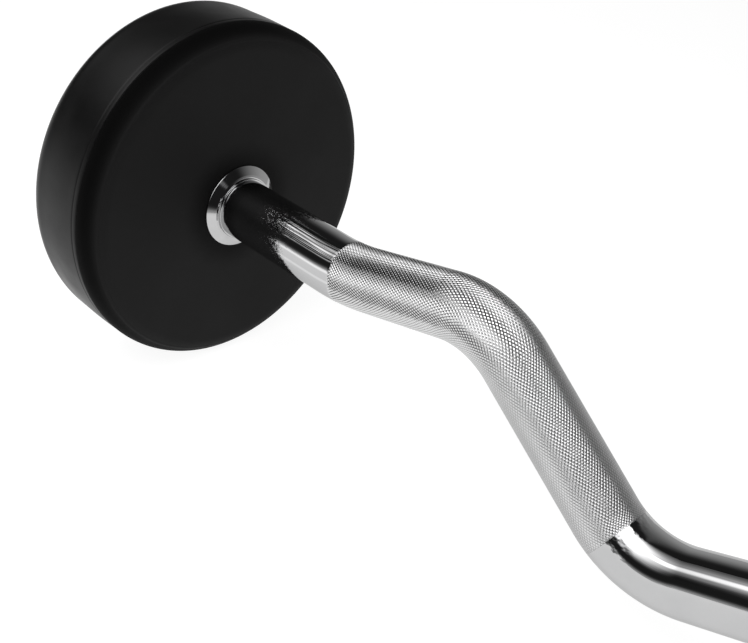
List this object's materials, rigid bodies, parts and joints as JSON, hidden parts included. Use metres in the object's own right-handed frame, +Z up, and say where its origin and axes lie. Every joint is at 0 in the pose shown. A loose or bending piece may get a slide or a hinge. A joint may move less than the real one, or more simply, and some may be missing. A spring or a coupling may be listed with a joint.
{
  "type": "ez curl barbell",
  "caption": "Fixed-weight EZ curl barbell: cranked chrome bar with knurled angled grips, a chrome collar and a round rubber-covered weight head at each end.",
  "frame": {"origin": "on the floor below mid-length, under the common axis of the two heads", "axes": "+X along the common axis of the heads, +Z up with the bar's valleys hanging down, +Y across"},
  "size_m": [0.8486, 0.163, 0.163],
  "materials": {
    "chrome": "polished chrome plate on steel, diamond knurl on the grips",
    "rubber": "satin moulded black rubber",
    "cast_iron": "raw casting, hidden under the rubber",
    "machined_steel": "turned steel",
    "zinc_steel": "bright zinc plate",
    "black_steel": "black oxide steel",
    "cap_plastic": "fine moulded texture, bare"
  },
  "bodies": {
    "root": {"curl_bar": "chrome", "left_head_cover": "rubber", "left_head_core": "cast_iron", "left_hub_bush": "machined_steel", "left_drive_key": "machined_steel", "left_clamp_washer": "zinc_steel", "left_lock_washer": "zinc_steel", "left_head_bolt": "black_steel", "left_end_cap": "cap_plastic", "left_bar_collar": "chrome", "right_head_cover": "rubber", "right_head_core": "cast_iron", "right_hub_bush": "machined_steel", "right_drive_key": "machined_steel", "right_clamp_washer": "zinc_steel", "right_lock_washer": "zinc_steel", "right_head_bolt": "black_steel", "right_end_cap": "cap_plastic", "right_bar_collar": "chrome"}
  },
  "joints": []
}
